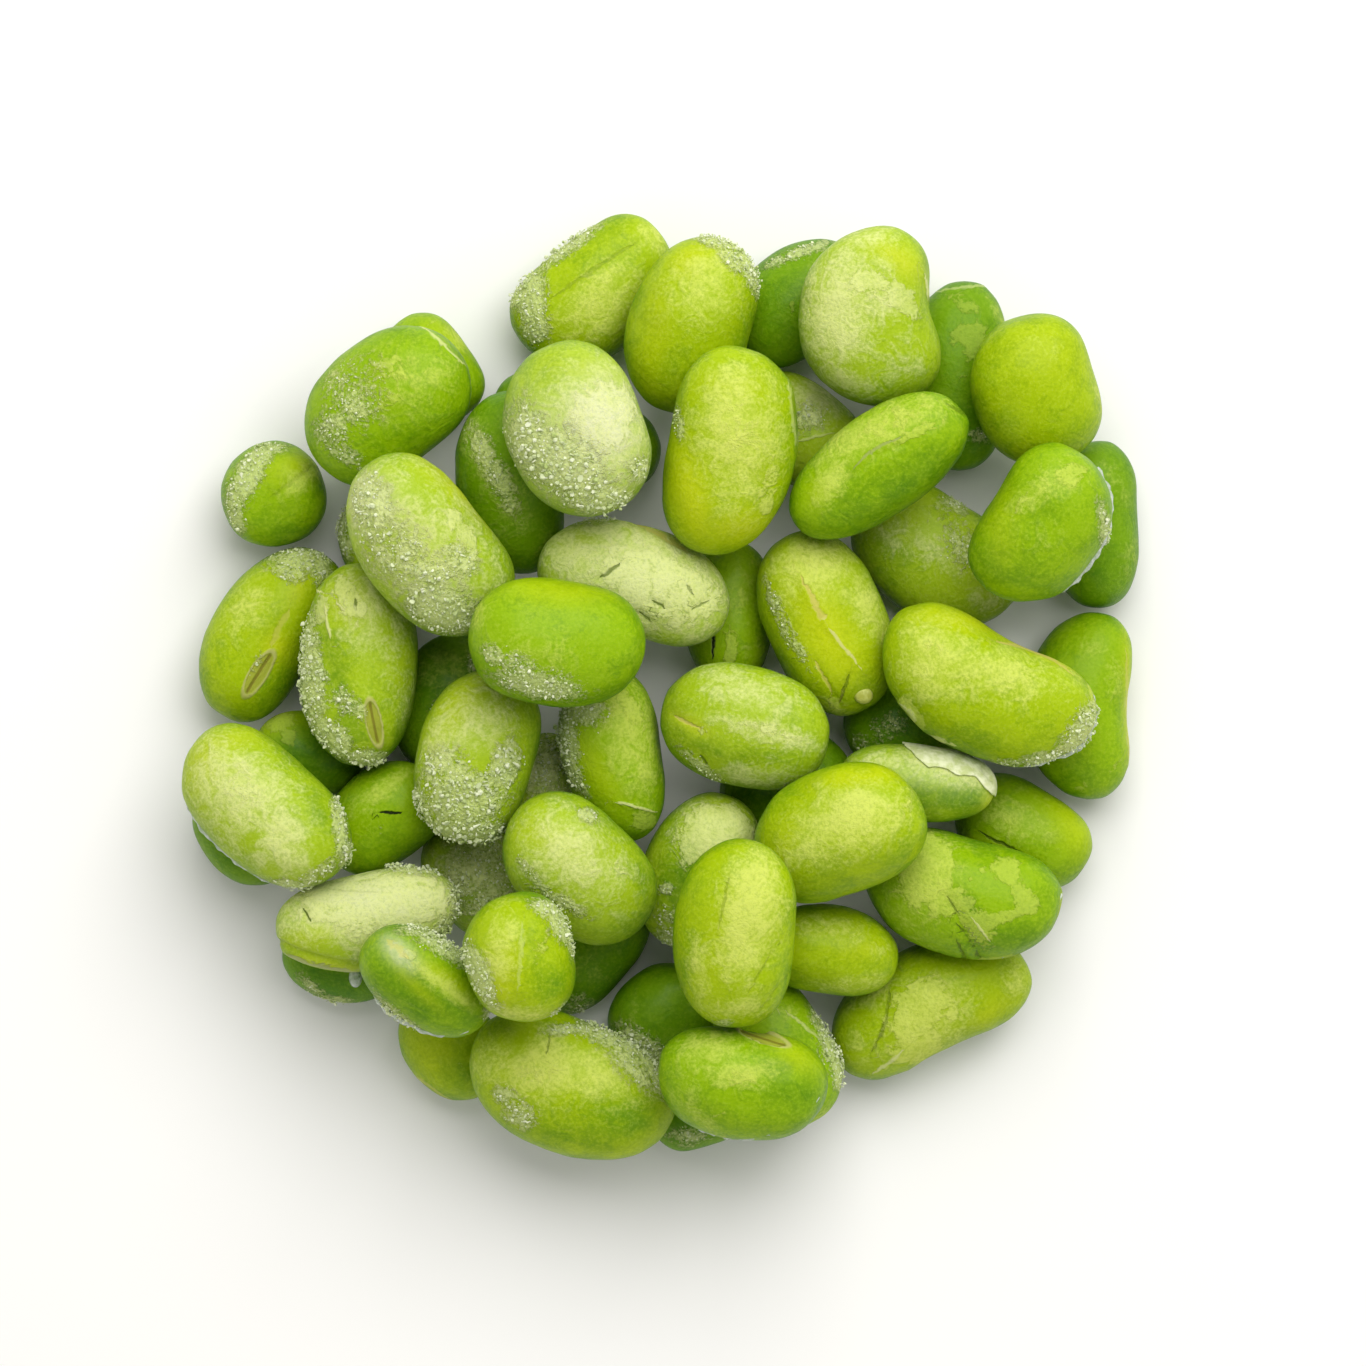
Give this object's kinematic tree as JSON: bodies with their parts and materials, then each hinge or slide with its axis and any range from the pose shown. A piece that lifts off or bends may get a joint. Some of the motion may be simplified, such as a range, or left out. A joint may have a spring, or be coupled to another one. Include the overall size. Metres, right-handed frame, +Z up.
{
  "type": "heap of frozen shelled edamame beans",
  "caption": "Round, low heap of shelled green edamame beans, frozen and dusted with frost, lying two to three beans deep on a flat surface.",
  "frame": {"origin": "on the surface the heap lies on, under the middle of its outer box", "axes": "+Z up out of the surface; +X and +Y lie on the surface, +X to the right and +Y away from a viewer who stands at the heap's front"},
  "size_m": [0.085, 0.0842, 0.0251],
  "materials": {
    "skin_fresh": "fresh green bean skin, smooth and moist",
    "skin_yellow": "yellow-green bean skin, smooth and moist",
    "skin_pale": "green bean skin, dull with frost haze",
    "skin_deep": "deep green bean skin, smooth and moist"
  },
  "bodies": {
    "root": {"lower_bean_01": "skin_yellow", "lower_bean_02": "skin_deep", "lower_bean_03": "skin_deep", "lower_bean_04": "skin_deep", "lower_bean_05": "skin_deep", "lower_bean_06": "skin_pale", "lower_bean_07": "skin_fresh", "lower_bean_08": "skin_deep", "lower_bean_09": "skin_pale", "lower_bean_10": "skin_fresh", "lower_bean_11": "skin_yellow", "lower_bean_12": "skin_deep", "lower_bean_13": "skin_deep", "lower_bean_14": "skin_fresh", "lower_bean_15": "skin_deep", "lower_bean_16": "skin_pale", "lower_bean_17": "skin_pale", "lower_bean_18": "skin_deep", "lower_bean_19": "skin_deep", "lower_bean_20": "skin_deep", "lower_bean_21": "skin_fresh", "lower_bean_22": "skin_yellow", "lower_bean_23": "skin_fresh", "lower_bean_24": "skin_fresh", "lower_bean_25": "skin_deep", "lower_bean_26": "skin_deep", "lower_bean_27": "skin_fresh", "lower_bean_28": "skin_deep", "lower_bean_29": "skin_yellow", "lower_bean_30": "skin_pale", "upper_bean_01": "skin_yellow", "upper_bean_02": "skin_pale", "upper_bean_03": "skin_yellow", "upper_bean_04": "skin_fresh", "upper_bean_05": "skin_yellow", "upper_bean_06": "skin_fresh", "upper_bean_07": "skin_pale", "upper_bean_08": "skin_fresh", "upper_bean_09": "skin_pale", "upper_bean_10": "skin_pale", "upper_bean_11": "skin_pale", "upper_bean_12": "skin_pale", "upper_bean_13": "skin_yellow", "upper_bean_14": "skin_pale", "upper_bean_15": "skin_fresh", "upper_bean_16": "skin_pale", "upper_bean_17": "skin_pale", "upper_bean_18": "skin_yellow", "upper_bean_19": "skin_pale", "upper_bean_20": "skin_fresh", "upper_bean_21": "skin_yellow", "upper_bean_22": "skin_yellow", "upper_bean_23": "skin_yellow", "upper_bean_24": "skin_pale", "upper_bean_25": "skin_pale", "upper_bean_26": "skin_fresh", "upper_bean_27": "skin_yellow", "upper_bean_28": "skin_yellow", "upper_bean_29": "skin_fresh", "upper_bean_30": "skin_fresh"}
  },
  "joints": []
}
